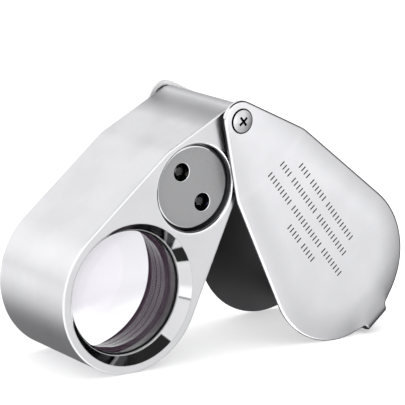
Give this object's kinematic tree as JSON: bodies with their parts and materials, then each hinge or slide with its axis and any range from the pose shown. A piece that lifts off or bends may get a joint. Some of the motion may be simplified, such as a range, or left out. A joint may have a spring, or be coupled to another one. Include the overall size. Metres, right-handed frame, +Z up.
{
  "type": "folding pocket loupe",
  "caption": "Folding pocket loupe: a lens and two lights in a thick teardrop housing that swings out of a U-shaped metal cover, shown open and standing on its two round ends.",
  "frame": {"origin": "on the floor, under the middle of the open loupe's bounding box", "axes": "+Z up, X along the spread of the two halves with the lens housing at -X and the cover at +X, Y along the lens axis with the light side at -Y"},
  "size_m": [0.081, 0.0278, 0.0515],
  "materials": {
    "housing_chrome": "satin chrome on die-cast metal",
    "bezel_chrome": "mirror-polished chrome",
    "cover_chrome": "polished chrome outside, dark satin inside",
    "black_anodised": "matt black anodised",
    "optical_glass": "clear, coated faintly pink",
    "plate_metal": "satin, mid grey",
    "led_clear": "clear domed epoxy",
    "led_violet": "clear domed epoxy with a violet tint",
    "board_laminate": "green lacquered laminate",
    "resistor_body": "black chip resistor",
    "sleeve_plastic": "black moulded plastic",
    "cell_steel": "nickel-plated can",
    "spring_steel": "nickel-plated spring wire",
    "leaf_brass": "spring brass",
    "cap_metal": "satin nickel-coloured",
    "seal_rubber": "black rubber",
    "barrel_steel": "turned steel",
    "screw_steel": "polished, nickel-plated",
    "washer_plastic": "black nylon"
  },
  "bodies": {
    "housing": {"lens_housing": "housing_chrome", "front_bezel_ring": "bezel_chrome", "rear_bezel_ring": "bezel_chrome", "front_retaining_ring": "black_anodised", "rear_retaining_ring": "black_anodised", "lens_barrel": "black_anodised", "lens_spacer": "black_anodised", "front_lens": "optical_glass", "rear_lens": "optical_glass", "led_plate": "plate_metal", "white_led": "led_clear", "uv_led": "led_violet", "led_board": "board_laminate", "led_resistor": "resistor_body", "battery_sleeve": "sleeve_plastic", "button_cell_front": "cell_steel", "button_cell_middle": "cell_steel", "button_cell_rear": "cell_steel", "board_contact_spring": "spring_steel", "switch_leaf": "leaf_brass"},
    "cover": {"swing_cover": "cover_chrome", "pivot_barrel": "barrel_steel", "front_pivot_screw": "screw_steel", "rear_pivot_screw": "screw_steel", "front_friction_washer": "washer_plastic", "rear_friction_washer": "washer_plastic"},
    "cap": {"battery_cap": "cap_metal", "cap_seal_ring": "seal_rubber", "cap_contact_spring": "spring_steel"}
  },
  "joints": [
    {"name": "cover_swing", "type": "hinge", "parent": "housing", "child": "cover", "pos_m": [-0.00173, 0, 0.04758], "axis": [0, -1, 0], "range_deg": [-75.6, 104.4]},
    {"name": "battery_cap_turn", "type": "hinge", "parent": "housing", "child": "cap", "pos_m": [-0.01089, 0, 0.03495], "axis": [0, 1, 0], "range_deg": [0, 60]}
  ]
}
